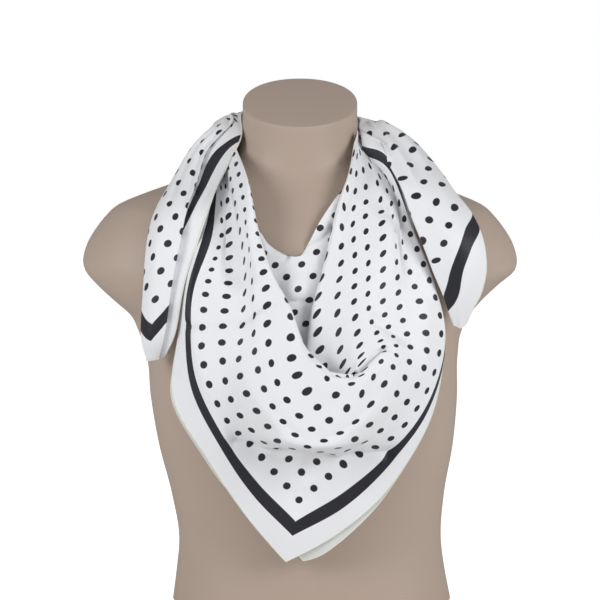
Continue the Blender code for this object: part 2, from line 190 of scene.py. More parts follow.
@dataclass(frozen=True)
class Print:
    """The printed pattern of the silk, in metres from the hems.

    Attributes:
        first: Distance of the first spot's middle from a hem.
        pitch: Distance between spots.
        radius: Radius of a spot.
        stripe: Distance of the stripe's middle from the hem.
        stripe_half: Half the stripe's width.
        clear: No spots nearer to a hem than this.
        blur: Softness of the print's edge.
    """

    first: float = 0.0485
    pitch: float = 0.0176
    radius: float = 0.0034
    stripe: float = 0.0275
    stripe_half: float = 0.0056
    clear: float = 0.041
    blur: float = 0.0005

    def group(self) -> bpy.types.ShaderNodeTree:
        """The group that turns a place on the cut cloth into a mask of ink."""
        if "SpotPrint" in bpy.data.node_groups:
            return bpy.data.node_groups["SpotPrint"]
        tree = bpy.data.node_groups.new("SpotPrint", "ShaderNodeTree")
        tree.interface.new_socket("Cut", in_out="INPUT", socket_type="NodeSocketVector")
        tree.interface.new_socket("Ink", in_out="OUTPUT", socket_type="NodeSocketFloat")
        bench = Bench(tree)
        source = bench.add("NodeGroupInput")
        result = bench.add("NodeGroupOutput")
        split = bench.add("ShaderNodeSeparateXYZ")
        bench.feed(split.inputs[0], source.outputs[0])
        steps = []
        for side in (0, 1):
            cells = bench.math("DIVIDE", bench.math("SUBTRACT", split.outputs[side], self.first), self.pitch)
            offset = bench.math("SUBTRACT", cells, bench.math("ROUND", cells))
            steps.append(bench.math("POWER", offset, 2.0))
        away = bench.math("MULTIPLY", bench.math("SQRT", bench.math("ADD", *steps)), self.pitch)
        nearest = bench.math("MINIMUM", split.outputs[0], split.outputs[1])
        spot = self.edge(bench, bench.math("SUBTRACT", self.radius, away))
        spot = bench.math("MULTIPLY", spot, bench.math("GREATER_THAN", nearest, self.clear))
        from_stripe = bench.math("ABSOLUTE", bench.math("SUBTRACT", nearest, self.stripe))
        stripe = self.edge(bench, bench.math("SUBTRACT", self.stripe_half, from_stripe))
        bench.feed(result.inputs[0], bench.math("MAXIMUM", spot, stripe))
        return tree

    def edge(self, bench: Bench, inside) -> bpy.types.NodeSocket:
        """1 well inside an edge and 0 well outside it."""
        node = bench.add("ShaderNodeMath", operation="MULTIPLY_ADD", use_clamp=True)
        bench.feed(node.inputs[0], inside)
        bench.feed(node.inputs[1], 1.0 / self.blur)
        bench.feed(node.inputs[2], 0.5)
        return node.outputs[0]


@dataclass(frozen=True)
class Weave:
    """The surface of woven silk: a fine twill over soft unevenness.

    Attributes:
        thread: Distance between twill lines, in metres.
        unevenness: Size of the soft unevenness, in metres.
    """

    thread: float = 0.0007
    unevenness: float = 0.03

    def group(self) -> bpy.types.ShaderNodeTree:
        """The group that turns a place on the cut cloth into a height."""
        if "SilkWeave" in bpy.data.node_groups:
            return bpy.data.node_groups["SilkWeave"]
        tree = bpy.data.node_groups.new("SilkWeave", "ShaderNodeTree")
        tree.interface.new_socket("Cut", in_out="INPUT", socket_type="NodeSocketVector")
        tree.interface.new_socket("Height", in_out="OUTPUT", socket_type="NodeSocketFloat")
        bench = Bench(tree)
        source = bench.add("NodeGroupInput")
        result = bench.add("NodeGroupOutput")
        split = bench.add("ShaderNodeSeparateXYZ")
        bench.feed(split.inputs[0], source.outputs[0])
        run = bench.math("ADD", split.outputs[0], split.outputs[1])
        twill = bench.math("SINE", bench.math("MULTIPLY", run, math.tau / self.thread))
        uneven = bench.add("ShaderNodeTexNoise", noise_dimensions="2D")
        bench.feed(uneven.inputs["Vector"], source.outputs[0])
        uneven.inputs["Scale"].default_value = 1.0 / self.unevenness
        uneven.inputs["Detail"].default_value = 3.0
        soft = bench.math("MULTIPLY", uneven.outputs["Fac"], 1.0)
        bench.feed(result.inputs[0], bench.math("ADD", soft, bench.math("MULTIPLY", twill, 0.015)))
        return tree


@dataclass(frozen=True)
class SilkFinish:
    """Printed silk.

    Attributes:
        name: The material's name.
        base: Colour of the cloth; on the under ply it also holds painted shade.
        ink: Colour of the print.
        ink_share: How strongly the print shows, less on the wrong side.
        roughness: Roughness of the cloth.
        sheen: Sheen of the cloth.
        relief: Strength of the weave's relief.
    """

    name: str
    base: tuple[float, float, float, float]
    ink: tuple[float, float, float, float]
    ink_share: float = 1.0
    roughness: float = 0.5
    sheen: float = 0.1
    relief: float = 0.1

    def build(self) -> bpy.types.Material:
        """The material, which reads the cloth's own cut map."""
        material = bpy.data.materials.new(self.name)
        material.use_nodes = True
        bench = Bench(material.node_tree)
        shader = material.node_tree.nodes["Principled BSDF"]
        cut = bench.add("ShaderNodeUVMap", uv_map="cut").outputs[0]
        printed = bench.group(Print().group())
        bench.feed(printed.inputs[0], cut)
        weave = bench.group(Weave().group())
        bench.feed(weave.inputs[0], cut)
        ink = bench.math("MULTIPLY", printed.outputs[0], self.ink_share)
        bench.feed(shader.inputs["Base Color"], bench.mix(ink, self.base, self.ink))
        bump = bench.add("ShaderNodeBump")
        bump.inputs["Strength"].default_value = self.relief
        bump.inputs["Distance"].default_value = 0.004
        bench.feed(bump.inputs["Height"], weave.outputs[0])
        bench.feed(shader.inputs["Normal"], bump.outputs[0])
        shader.inputs["Roughness"].default_value = self.roughness
        shader.inputs["Sheen Weight"].default_value = self.sheen
        shader.inputs["Sheen Roughness"].default_value = 0.4
        shader.inputs["Specular IOR Level"].default_value = 0.35
        return material


@dataclass(frozen=True)
class PlainFinish:
    """A plain, nearly even finish.

    Attributes:
        name: The material's name.
        base: Its colour.
        roughness: Its roughness.
        specular: Its specular level.
        mottle: How far the colour wanders.
        mottle_size: Over what distance, in metres.
    """

    name: str
    base: tuple[float, float, float, float]
    roughness: float = 0.55
    specular: float = 0.35
    mottle: float = 0.0
    mottle_size: float = 0.08

    def build(self) -> bpy.types.Material:
        """The material, which reads object coordinates."""
        material = bpy.data.materials.new(self.name)
        material.use_nodes = True
        bench = Bench(material.node_tree)
        shader = material.node_tree.nodes["Principled BSDF"]
        shader.inputs["Roughness"].default_value = self.roughness
        shader.inputs["Specular IOR Level"].default_value = self.specular
        if self.mottle <= 0.0:
            shader.inputs["Base Color"].default_value = self.base
            return material
        place = bench.add("ShaderNodeTexCoord").outputs["Object"]
        cloud = bench.add("ShaderNodeTexNoise")
        bench.feed(cloud.inputs["Vector"], place)
        cloud.inputs["Scale"].default_value = 1.0 / self.mottle_size
        dark = tuple(part * (1.0 - self.mottle) for part in self.base[:3]) + (1.0,)
        bench.feed(shader.inputs["Base Color"], bench.mix(cloud.outputs["Fac"], dark, self.base))
        return material


SILK_FACE = SilkFinish("silk_face", colour(246, 247, 250), colour(38, 38, 46))
# The under ply's silk: its wrong side without print, its base greyed and tinted green as painted shade of the ply
# lying behind the first.
SILK_BACK_PAINTED_SHADE = SilkFinish("silk_back_painted_shade", colour(229, 232, 228), colour(120, 124, 124), ink_share=0.0)
SILK_HEM = PlainFinish("silk_hem", colour(238, 238, 230), 0.6)
FORM_SKIN = PlainFinish("form_skin", colour(190, 171, 157), 0.5, 0.4, mottle=0.05)
FLOOR = PlainFinish("floor", colour(240, 240, 240), 0.9, 0.1)


# --------------------------------------------------------------------------------------------
# The dress form


@dataclass(frozen=True)
class FormRing:
    """One level section of the form, in millimetres."""

    height: float
    half_width: float
    front: float
    back: float
    shift: float


FORM_RINGS = (
    FormRing(0, 131.4, -86, 84, 11.0),
    FormRing(30, 126.6, -82, 78, 10.0),
    FormRing(57, 123.8, -80, 74, 9.5),
    FormRing(100, 128.4, -84, 75, 7.5),
    FormRing(149, 138.5, -92, 80, 5.5),
    FormRing(195, 143.9, -104, 88, 3.6),
    FormRing(232, 145.7, -110, 93, 2.0),
    FormRing(255, 151.2, -108, 95, 0.0),
    FormRing(271, 159.4, -106, 96, 0.0),
    FormRing(284, 172.5, -103, 96, -2.0),
    FormRing(300, 189.8, -100, 96, -2.0),
    FormRing(311, 201.0, -97, 95, 0.0),
    FormRing(319, 203.3, -95, 95, 0.0),
    FormRing(328, 202.2, -92, 94, 0.0),
    FormRing(338, 198.6, -89, 93, 0.0),
    FormRing(350, 191.3, -85, 91, 0.0),
    FormRing(361, 182.7, -80, 90, 0.0),
    FormRing(372, 170.5, -74, 88, 0.0),
    FormRing(382, 147.0, -68, 86, 0.0),
    FormRing(388, 130.0, -64, 83, 0.0),
    FormRing(394, 112.0, -61, 80, 0.0),
    FormRing(401, 92.0, -58, 76, 0.0),
    FormRing(408, 76.0, -55, 72, 0.0),
    FormRing(417, 64.0, -53, 69, 0.0),
    FormRing(430, 57.0, -52, 66, 0.0),
    FormRing(448, 54.0, -52, 64, 0.0),
    FormRing(468, 53.5, -54, 63, 0.0),
)


@dataclass
class DressForm:
    """The limbless bust: level sections with a flat base and a slanted neck top.

    Attributes:
        segments: Points round a section.
        step: Distance between sections, in millimetres.
        slant: Slope of the neck top.
        slant_start: Height at which the sections begin to slant.
        slant_range: Over what height they do.
        rim: Radius of the rounded rim of the neck top.
    """

    segments: int = 128
    step: float = 4.0
    slant: float = math.tan(math.radians(19.5))
    slant_start: float = 380.0
    slant_range: float = 88.0
    rim: float = 1.2

    @property
    def height(self) -> float:
        """Height of the neck top's middle."""
        return FORM_RINGS[-1].height

    def section(self, height: float) -> tuple[float, float, float, float, float]:
        """Half width, half depth, middle, shift and power of the section at a height."""
        knots = [ring.height for ring in FORM_RINGS]
        values = [
            Vector((ring.half_width, ring.front, ring.back, ring.shift)) for ring in FORM_RINGS
        ]
        index = 0
        while index < len(knots) - 2 and height > knots[index + 1]:
            index += 1
        low, high = max(index - 2, 0), min(index + 4, len(knots))
        half, front, back, shift = spline(knots[low:high], values[low:high], height)
        power = 2.3 - 0.2 * smooth_step((height - self.slant_start + 12.0) / 12.0)
        return half, (back - front) / 2.0, (back + front) / 2.0, shift, power

    def place(self, angle: float, height: float) -> Vector:
        """The form's surface at an angle and a height of its middle."""
        half, depth, middle, shift, power = self.section(height)
        inset = 0.0
        if height > self.height - self.rim:
            rise = (height - self.height + self.rim) / self.rim
            inset = self.rim * (1.0 - math.sqrt(max(0.0, 1.0 - rise * rise)))
        x = math.copysign(abs(math.cos(angle)) ** (2.0 / power), math.cos(angle)) * (half - inset)
        y = math.copysign(abs(math.sin(angle)) ** (2.0 / power), math.sin(angle)) * (depth - inset)
        tilt = self.slant * smooth_step((height - self.slant_start) / self.slant_range)
        return Vector((shift + x, middle + y, height + tilt * y))

    def heights(self) -> list[float]:
        """Heights of all sections."""
        count = int(self.height / self.step)
        rows = [self.step * index for index in range(count)]
        return rows + [self.height - self.rim * part for part in (1.0, 0.7, 0.45, 0.2, 0.05, 0.0)]

    def build(self) -> bpy.types.Object:
        """Extrude a disc through all sections and round it to shape.

        Returns:
            The form.
        """
        heights = self.heights()
        bpy.ops.object.select_all(action="DESELECT")
        bpy.ops.mesh.primitive_circle_add(
            vertices=self.segments, radius=1.0, fill_type="NGON", location=(0.0, 0.0, 0.0)
        )
        item = bpy.context.active_object
        item.name = "form_body"
        bpy.ops.object.mode_set(mode="EDIT")
        bpy.ops.mesh.select_all(action="SELECT")
        for low, high in zip(heights, heights[1:]):
            bpy.ops.mesh.extrude_region_move(TRANSFORM_OT_translate={"value": (0, 0, high - low)})
        bpy.ops.object.mode_set(mode="OBJECT")
        for vertex in item.data.vertices:
            angle = math.atan2(vertex.co.y, vertex.co.x)
            vertex.co = self.place(angle, min(vertex.co.z, self.height)) * MM
        bpy.ops.object.mode_set(mode="EDIT")
        bpy.ops.mesh.select_all(action="SELECT")
        bpy.ops.mesh.normals_make_consistent(inside=False)
        bpy.ops.object.mode_set(mode="OBJECT")
        bpy.ops.object.shade_smooth_by_angle(angle=math.radians(40.0))
        item.data.materials.append(FORM_SKIN.build())
        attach(item, ROOT)
        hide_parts("dress_form")
        return item


# --------------------------------------------------------------------------------------------
# Cloth


def tree_of(item: bpy.types.Object) -> BVHTree:
    """A search tree over an object's own mesh, in millimetres."""
    points = [vertex.co / MM for vertex in item.data.vertices]
    return BVHTree.FromPolygons(points, [tuple(face.vertices) for face in item.data.polygons])


def outward(point: Vector) -> Vector:
    """The way out of the body: level round the chest, rising over the shoulders."""
    rise = smooth_step((point.z - 340.0) / 90.0)
    heart = Vector((point.x * 0.55 * rise, 8.0, point.z - 55.0 * rise))
    return (point - heart).normalized()


GATHERED = 1.35


@dataclass(frozen=True)
class Crease:
    """A fold that has fallen or been pressed into the cloth along a path.

    Attributes:
        name: What it is.
        path: Its points, as stations and shares of the drape or as cut places.
        height: How far it stands out of the cloth, less than 0 for a valley, in millimetres.
        width: Its half width, in millimetres.
        sharp: Whether its middle is a sharp line.
        fade: Share of its length over which it fades out at each end.
    """

    name: str
    path: tuple[tuple[float, float], ...]
    height: float
    width: float
    sharp: bool = False
    fade: float = 0.25

    def lift(self, place: Vector, line: list[Vector]) -> float:
        """How far the cloth is lifted at a cut place.

        Args:
            place: The cut place.
            line: The path as cut places.

        Returns:
            The lift, in millimetres.
        """
        nearest, along = 1e9, 0.0
        for index in range(len(line) - 1):
            run = line[index + 1] - line[index]
            part = max(0.0, min(1.0, (place - line[index]).dot(run) / run.length_squared))
            away = (line[index] + run * part - place).length
            if away < nearest:
                nearest, along = away, (index + part) / (len(line) - 1)
        if nearest > 4.0 * self.width:
            return 0.0
        ends = smooth_step(min(along, 1.0 - along) / self.fade)
        near = nearest / self.width
        return self.height * ends * math.exp(-near if self.sharp else -near * near)


class Cloth:
    """A grid of cloth: its points, and where each lies on the cloth as it was cut.

    The cut place is the distance from the two hems that meet at the nearest corner.
    """

    def __init__(self, points: list[list[Vector]], cut: list[list[Vector]]) -> None:
        """Take a grid of points and a grid of cut places, both in millimetres."""
        self.points = points
        self.cut = cut
        self.rows = len(points)
        self.columns = len(points[0])

    def normal(self, row: int, column: int) -> Vector:
        """The outward normal at a point of the grid."""
        low, high = max(row - 1, 0), min(row + 1, self.rows - 1)
        left, right = max(column - 1, 0), min(column + 1, self.columns - 1)
        down = self.points[high][column] - self.points[low][column]
        over = self.points[row][right] - self.points[row][left]
        normal = down.cross(over)
        if normal.length < 1e-9:
            return outward(self.points[row][column])
        return normal.normalized()

    def crease(self, creases: list[tuple[Crease, list[Vector]]]) -> "Cloth":
        """Lift the cloth along creases.

        Args:
            creases: Pairs of a crease and its path in cut places.

        Returns:
            The same cloth.
        """
        normals = [[self.normal(r, c) for c in range(self.columns)] for r in range(self.rows)]
        for r in range(self.rows):
            for c in range(self.columns):
                lift = sum(crease.lift(self.cut[r][c], line) for crease, line in creases)
                self.points[r][c] = self.points[r][c] + normals[r][c] * lift
        return self

    def settle(self, form: BVHTree, covers=(), gap: float = 0.7, rounds: int = 3) -> "Cloth":
        """Move the cloth clear of the form and of the cloths it covers, and ease what moved.

        Args:
            form: Search tree of the form.
            covers: Pairs of a search tree and a test that tells where that cloth is covered.
            gap: Clearance of the middle of the cloth.
            rounds: How often to move and ease.

        Returns:
            The same cloth.
        """
        start = [[point.copy() for point in row] for row in self.points]
        for turn in range(rounds):
            for row in self.points:
                for column, point in enumerate(row):
                    row[column] = self.clear(point, form, covers, gap)
            if turn == rounds - 1:
                break
            moves = [
                [self.points[r][c] - start[r][c] for c in range(self.columns)]
                for r in range(self.rows)
            ]
            for _ in range(4):
                moves = self.eased(moves)
            for r in range(self.rows):
                for c in range(self.columns):
                    self.points[r][c] = start[r][c] + moves[r][c]
        return self

    def eased(self, moves: list[list[Vector]]) -> list[list[Vector]]:
        """Moves blended with those of the neighbours."""
        made = []
        for r in range(self.rows):
            line = []
            for c in range(self.columns):
                up, down = moves[max(r - 1, 0)][c], moves[min(r + 1, self.rows - 1)][c]
                left, right = moves[r][max(c - 1, 0)], moves[r][min(c + 1, self.columns - 1)]
                line.append(moves[r][c] * 0.4 + (up + down + left + right) * 0.15)
            made.append(line)
        return made

    @staticmethod
    def clear(point: Vector, form: BVHTree, covers, gap: float) -> Vector:
        """A point moved clear of the form and outside each cloth that it covers."""
        for tree, covers_here in covers:
            if not covers_here(point):
                continue
            way = outward(point)
            hit, _, _, _ = tree.ray_cast(point + way * 40.0, -way, 50.0)
            if hit is not None and (point - hit).dot(way) < gap + 0.3:
                point = hit + way * (gap + 0.3)
        nearest, normal, _, distance = form.find_nearest(point)
        if (point - nearest).dot(normal) < 0.0 or distance < gap:
            return nearest + normal * gap
        return point

    def quad_areas(self) -> list[tuple[float, float]]:
        """Areas of every quad as it lies and as it was cut, in square metres."""
        areas = []
        for r in range(self.rows - 1):
            for c in range(self.columns - 1):
                both = []
                for grid in (self.points, self.cut):
                    first = grid[r + 1][c + 1] - grid[r][c]
                    second = grid[r + 1][c] - grid[r][c + 1]
                    both.append(first.cross(second).length / 2.0 * MM * MM)
                areas.append((both[0], both[1]))
        return areas

    def flat_area(self) -> float:
        """Cut area of what shows, without what is gathered away inside pleats."""
        return sum(min(cut, lying * GATHERED) for lying, cut in self.quad_areas())

    def declare(self, item: bpy.types.Object, rests_on: list[str], edges=()) -> None:
        """State the cut of the cloth that a piece shows."""
        LOG.info("%s: %.2f of its cut", item.name, sum(a for a, _ in self.quad_areas()) / self.flat_area())

    def build(self, name: str, finish: SilkFinish, wall: float = 0.5) -> bpy.types.Object:
        """Link the cloth with its cut map and a wall of even thickness.

        Args:
            name: The piece's name.
            finish: Its finish.
            wall: Thickness, in millimetres.

        Returns:
            The piece.
        """
        points = [point * MM for row in self.points for point in row]
        cuts = [place * MM for row in self.cut for place in row]
        faces = []
        for r in range(self.rows - 1):
            for c in range(self.columns - 1):
                low = r * self.columns + c
                high = low + self.columns
                faces.append((low, high, high + 1, low + 1))
        mesh = bpy.data.meshes.new(name)
        mesh.from_pydata(points, [], faces)
        mesh.update()
        mesh.shade_smooth()
        layer = mesh.uv_layers.new(name="cut")
        for loop in mesh.loops:
            layer.data[loop.index].uv = cuts[loop.vertex_index].xy
        mesh.materials.append(finish.build())
        item = bpy.data.objects.new(name, mesh)
        bpy.context.scene.collection.objects.link(item)
        shell = item.modifiers.new("wall", "SOLIDIFY")
        shell.thickness = wall * MM
        shell.offset = 0.0
        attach(item, ROOT)
        return item


@dataclass
class HemRoll:
    """A rolled hem: a thin round roll along an edge of cloth.

    Attributes:
        name: The piece's name.
        radius: Its radius, in millimetres.
        sides: Points round it.
    """

    name: str
    radius: float = 0.7
    sides: int = 8

    def build(self, line: list[Vector]) -> bpy.types.Object:
        """Sweep the roll along a line of points.

        Args:
            line: Points of the edge, in millimetres.

        Returns:
            The roll.
        """
        rings = []
        for index, point in enumerate(line):
            before, after = line[max(index - 1, 0)], line[min(index + 1, len(line) - 1)]
            run = (after - before).normalized()
            out = outward(point)
            out = (out - run * out.dot(run)).normalized()
            side = run.cross(out)
            taper = 0.35 if index in (0, len(line) - 1) else 1.0
            for step in range(self.sides):
                angle = math.tau * step / self.sides
                way = out * math.cos(angle) + side * math.sin(angle)
                rings.append((point + way * self.radius * taper) * MM)
        faces = []
        for index in range(len(line) - 1):
            for step in range(self.sides):
                low = index * self.sides
                beside = (step + 1) % self.sides
                high = low + self.sides
                faces.append((low + step, low + beside, high + beside, high + step))
        end = (len(line) - 1) * self.sides
        faces.append(tuple(reversed(range(self.sides))))
        faces.append(tuple(end + step for step in range(self.sides)))
        mesh = bpy.data.meshes.new(self.name)
        mesh.from_pydata(rings, [], faces)
        mesh.update()
        mesh.shade_smooth()
        mesh.materials.append(SILK_HEM.build())
        item = bpy.data.objects.new(self.name, mesh)
        bpy.context.scene.collection.objects.link(item)
        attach(item, ROOT)
        return item


# --------------------------------------------------------------------------------------------
# The front drape


@dataclass(frozen=True)
class FoldLine:
    """A fold line of the drape, from the gather at one side of the neck to the other.

    Attributes:
        name: What it is.
        share: Its share of the way from fold to hem, at the left, in the middle, at the right.
        turn: Room inside the fold at the same places.
        path: Its points at the stations, in millimetres.
    """

    name: str
    share: tuple[float, float, float]
    turn: tuple[float, float, float]
    path: tuple[tuple[float, float, float], ...]


STATIONS = (
    -1.0, -0.75, -0.5, -0.37, -0.25, -0.12, 0.0, 0.12, 0.25, 0.37, 0.5, 0.62, 0.75, 0.88,
    1.0,
)
FOLD_LINES = (
    FoldLine("neckline edge", (0, 0, 0), (0, 0, 0), (
        (-63, 10, 437), (-55, -60, 403), (-42, -86, 364), (-35, -92, 352),
        (-28, -95, 343), (-15, -97, 335), (-4, -97, 332), (3, -95, 335),
        (9, -92, 346), (18, -86, 363), (31, -78, 382), (42, -70, 396),
        (48, -60, 411), (50, -42, 424), (52, -17, 441))),
    FoldLine("inner valley", (0.28, 0.28, 0.28), (4, 5, 5), (
        (-74, 10, 425), (-54, -65, 386), (-44, -93, 331), (-35, -105, 298),
        (-25, -113, 267), (-12, -114, 234), (0, -114, 217), (9, -112, 232),
        (18, -111, 262), (25, -106, 290), (33, -98, 320), (39, -92, 343),
        (47, -76, 368), (51, -45, 400), (53, -14, 433))),
    FoldLine("right ridge", (0.54, 0.54, 0.54), (4, 4, 7), (
        (-65, 10, 438), (-49, -73, 400), (-40, -98, 348), (-31, -110, 316),
        (-22, -117, 286), (-14, -119, 257), (-8, -121, 232), (-3, -121, 222),
        (5, -121, 222), (6, -118, 245), (11, -110, 285), (22, -101, 325),
        (34, -82, 376), (45, -64, 407), (52, -19, 440))),
    FoldLine("pocket valley", (0.61, 0.592, 0.6), (4, 6, 0), (
        (-70, 10, 433), (-52, -79, 384), (-46, -103, 330), (-40, -115, 298),
        (-34, -123, 262), (-30, -124, 211), (-14, -129, 185), (4, -126, 186),
        (27, -126, 211), (28, -123, 247), (31, -116, 292), (39, -107, 327),
        (43, -86, 363), (50, -62, 400), (54, -17, 434))),
    FoldLine("left lip", (0.68, 0.639, 0.66), (4, 8, 0), (
        (-66, 10, 437), (-48, -86, 402), (-35, -108, 345), (-25, -119, 317),
        (-10, -127, 289), (4, -136, 251), (24, -148, 231), (45, -142, 228),
        (49, -138, 234), (51, -132, 256), (51, -121, 292), (55, -110, 325),
        (56, -88, 362), (60, -57, 396), (54, -18, 433))),
    FoldLine("lip front", (0.725, 0.7, 0.7), (0, 0, 0), (
        (-72, 10, 435), (-54, -86, 395), (-42, -110, 338), (-37, -123, 303),
        (-29, -135, 270), (-14, -148, 231), (15, -156, 201), (54, -149, 226),
        (69, -138, 249), (68, -131, 261), (62, -122, 290), (65, -111, 324),
        (67, -88, 361), (70, -58, 394), (54, -19, 432))),
    FoldLine("breast", (0.77, 0.76, 0.76), (0, 0, 0), (
        (-75, 10, 433), (-60, -79, 385), (-47, -111, 321), (-45, -125, 281),
        (-42, -138, 244), (-22, -153, 203), (8, -158, 174), (47, -152, 190),
        (82, -137, 234), (88, -126, 258), (81, -115, 286), (83, -105, 323),
        (86, -85, 364), (77, -56, 394), (55, -19, 431))),
    FoldLine("belly", (0.8, 0.8, 0.8), (0, 0, 0), (
        (-77, 10, 429), (-62, -71, 373), (-52, -112, 306), (-54, -125, 267),
        (-53, -136, 228), (-26, -152, 187), (5, -150, 161), (46, -151, 177),
        (86, -134, 212), (101, -121, 248), (95, -109, 284), (94, -100, 320),
        (91, -82, 359), (81, -53, 395), (55, -20, 430))),
    FoldLine("undercut", (0.84, 0.84, 0.84), (0, 0, 0), (
        (-72, 10, 432), (-69, -79, 362), (-70, -112, 297), (-71, -123, 256),
        (-62, -129, 209), (-31, -128, 169), (2, -113, 145), (43, -128, 161),
        (86, -125, 192), (112, -117, 232), (115, -103, 278), (104, -95, 316),
        (91, -79, 357), (82, -50, 395), (55, -22, 424))),
    FoldLine("panel foot", (0.895, 0.88, 0.88), (0, 0, 0), (
        (-73, 10, 429), (-76, -80, 352), (-93, -110, 287), (-91, -121, 234),
        (-68, -124, 187), (-34, -118, 154), (0, -104, 118), (39, -118, 149),
        (85, -122, 174), (116, -110, 215), (129, -94, 267), (118, -90, 314),
        (101, -78, 357), (82, -49, 401), (56, -24, 419))),
    FoldLine("stripe", (0.935, 0.935, 0.935), (0, 0, 0), (
        (-64, 10, 426), (-87, -85, 350), (-102, -109, 275), (-95, -117, 216),
        (-69, -120, 164), (-39, -113, 121), (-5, -104, 86), (41, -111, 113),
        (84, -115, 153), (116, -106, 196), (132, -88, 251), (122, -85, 298),
        (105, -79, 345), (82, -49, 416), (57, -25, 429))),
    FoldLine("hem", (1.0, 1.0, 1.0), (0, 0, 0), (
        (-64, 10, 421), (-98, -81, 340), (-110, -92, 262), (-114, -107, 203),
        (-82, -115, 148), (-48, -109, 96), (-13, -101, 53), (35, -108, 81),
        (80, -113, 123), (116, -100, 179), (130, -84, 239), (122, -83, 288),
        (106, -80, 334), (91, -38, 417), (55, -14, 443))),
)


@dataclass(frozen=True)
class Pull:
    """A place where the cloth is drawn a little to one side.

    Attributes:
        name: Where it is.
        station: Its middle across.
        share: Its middle down.
        width: How far it reaches across.
        height: How far it reaches down.
        way: How far the cloth moves, in millimetres.
    """

    name: str
    station: float
    share: float
    width: float
    height: float
    way: tuple[float, float, float]

    def move(self, station: float, share: float) -> Vector:
        """How far a point of the cloth moves."""
        away = ((station - self.station) / self.width) ** 2 + ((share - self.share) / self.height) ** 2
        return Vector(self.way) * math.exp(-away)


PULLS = ()
FRONT_CREASES = (
    Crease("under the belly", (
        (-0.25, 0.926), (-0.20, 0.898), (-0.13, 0.879), (-0.04, 0.835), (0.04, 0.835),
        (0.11, 0.874), (0.20, 0.898), (0.235, 0.915), (0.25, 0.95)), -7.0, 7.0, True, 0.1),
    Crease("belly", ((-0.19, 0.868), (-0.05, 0.794), (0.09, 0.802), (0.22, 0.854)), 3.5, 9.0),
    Crease("left panel", ((-0.81, 0.802), (-0.72, 0.841), (-0.61, 0.832), (-0.48, 0.816)), -6.0, 9.0),
    Crease("left crest", ((-0.66, 0.71), (-0.55, 0.72), (-0.45, 0.72), (-0.35, 0.70)), 4.0, 9.0),
    Crease("right groove", (
        (0.88, 0.66), (0.81, 0.731), (0.75, 0.775), (0.66, 0.797), (0.53, 0.808)), -5.0, 8.0),
    Crease("right breast", ((0.48, 0.687), (0.42, 0.744), (0.38, 0.805)), -3.5, 8.0),
    Crease("end of the lip", (
        (0.21, 0.62), (0.215, 0.65), (0.227, 0.678), (0.288, 0.715), (0.32, 0.75)), -8.0, 7.0),
    Crease("packing crease left", (
        (-0.52, 0.975), (-0.44, 0.879), (-0.39, 0.799), (-0.25, 0.665)), -2.5, 2.2, True, 0.1),
)


